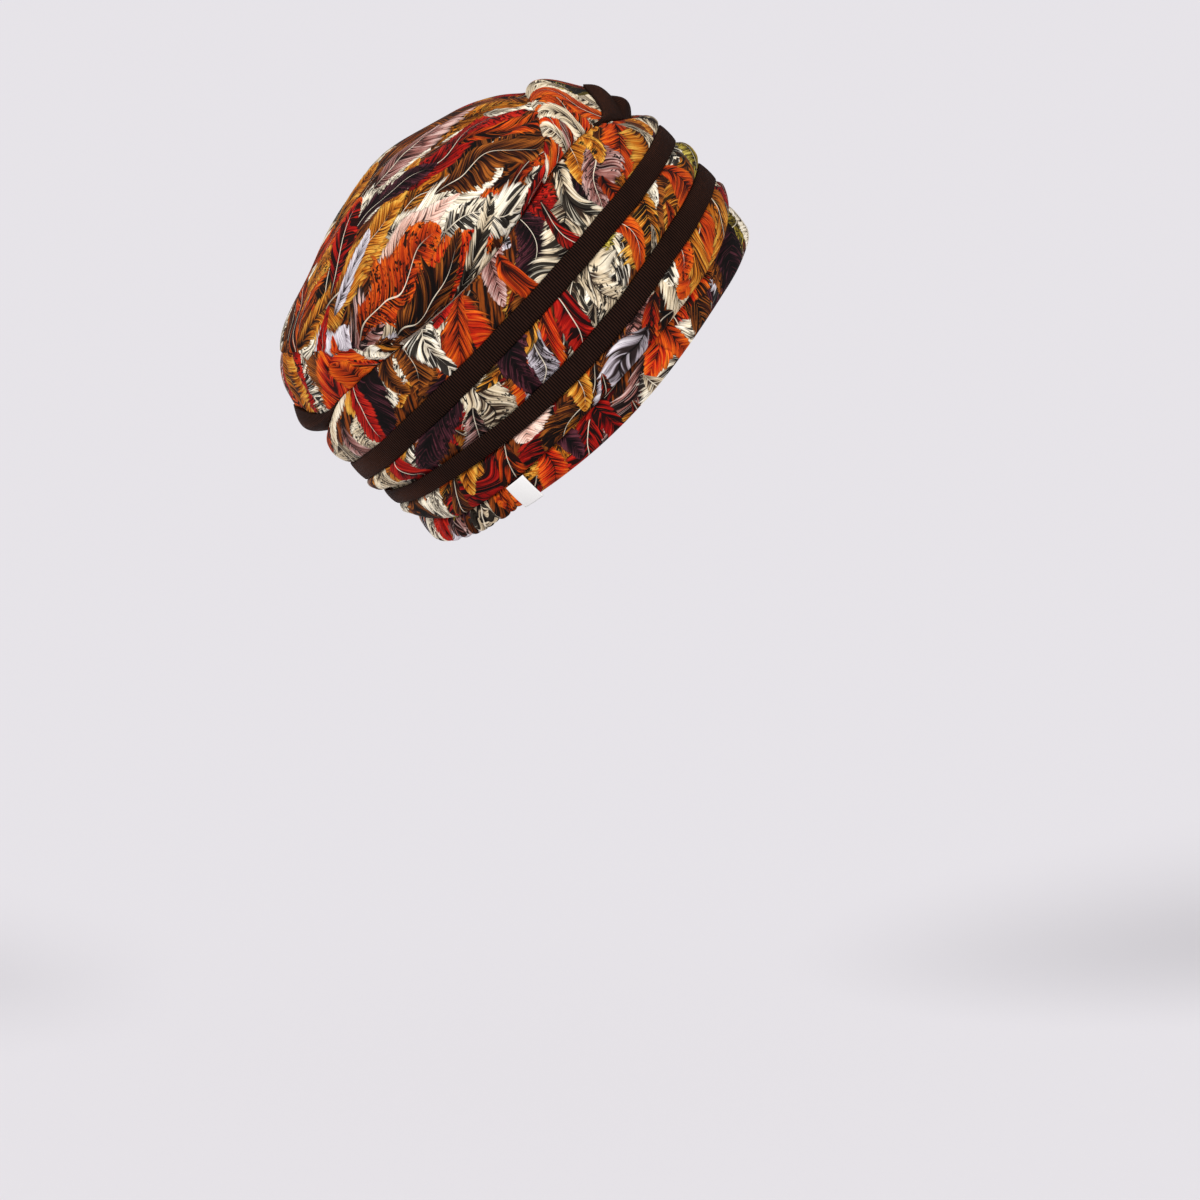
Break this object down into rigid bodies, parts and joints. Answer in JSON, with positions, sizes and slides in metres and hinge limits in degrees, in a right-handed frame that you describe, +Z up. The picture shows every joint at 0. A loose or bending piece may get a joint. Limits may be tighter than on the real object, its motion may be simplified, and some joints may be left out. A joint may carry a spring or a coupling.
{
  "type": "turban headwrap",
  "caption": "Soft ready-made turban cap of printed cloth, with a gathered crown, shingled bands edged in ribbed ribbon, and a turned hem with a ruched nape.",
  "frame": {"origin": "centre of the head opening, where the cap sits on the head", "axes": "worn upright: +Z up, the wearer's face towards -Y, the wearer's right towards -X"},
  "size_m": [0.1742, 0.222, 0.2172],
  "materials": {
    "print_cloth": "soft printed jersey in rust, mustard, brown, cream and red",
    "ribbon": "dark brown grosgrain ribbon with fine cross ribs",
    "label": "white woven tab"
  },
  "bodies": {
    "root": {"crown": "print_cloth", "front_tuck": "print_cloth", "front_ribbon": "ribbon", "cross_tuck": "print_cloth", "cross_ribbon": "ribbon", "back_tuck": "print_cloth", "back_ribbon": "ribbon", "upper_fold": "print_cloth", "upper_ribbon": "ribbon", "middle_fold": "print_cloth", "lower_ribbon": "ribbon", "lower_fold": "print_cloth", "hem_front": "print_cloth", "hem_back": "print_cloth", "side_label": "label"}
  },
  "joints": []
}
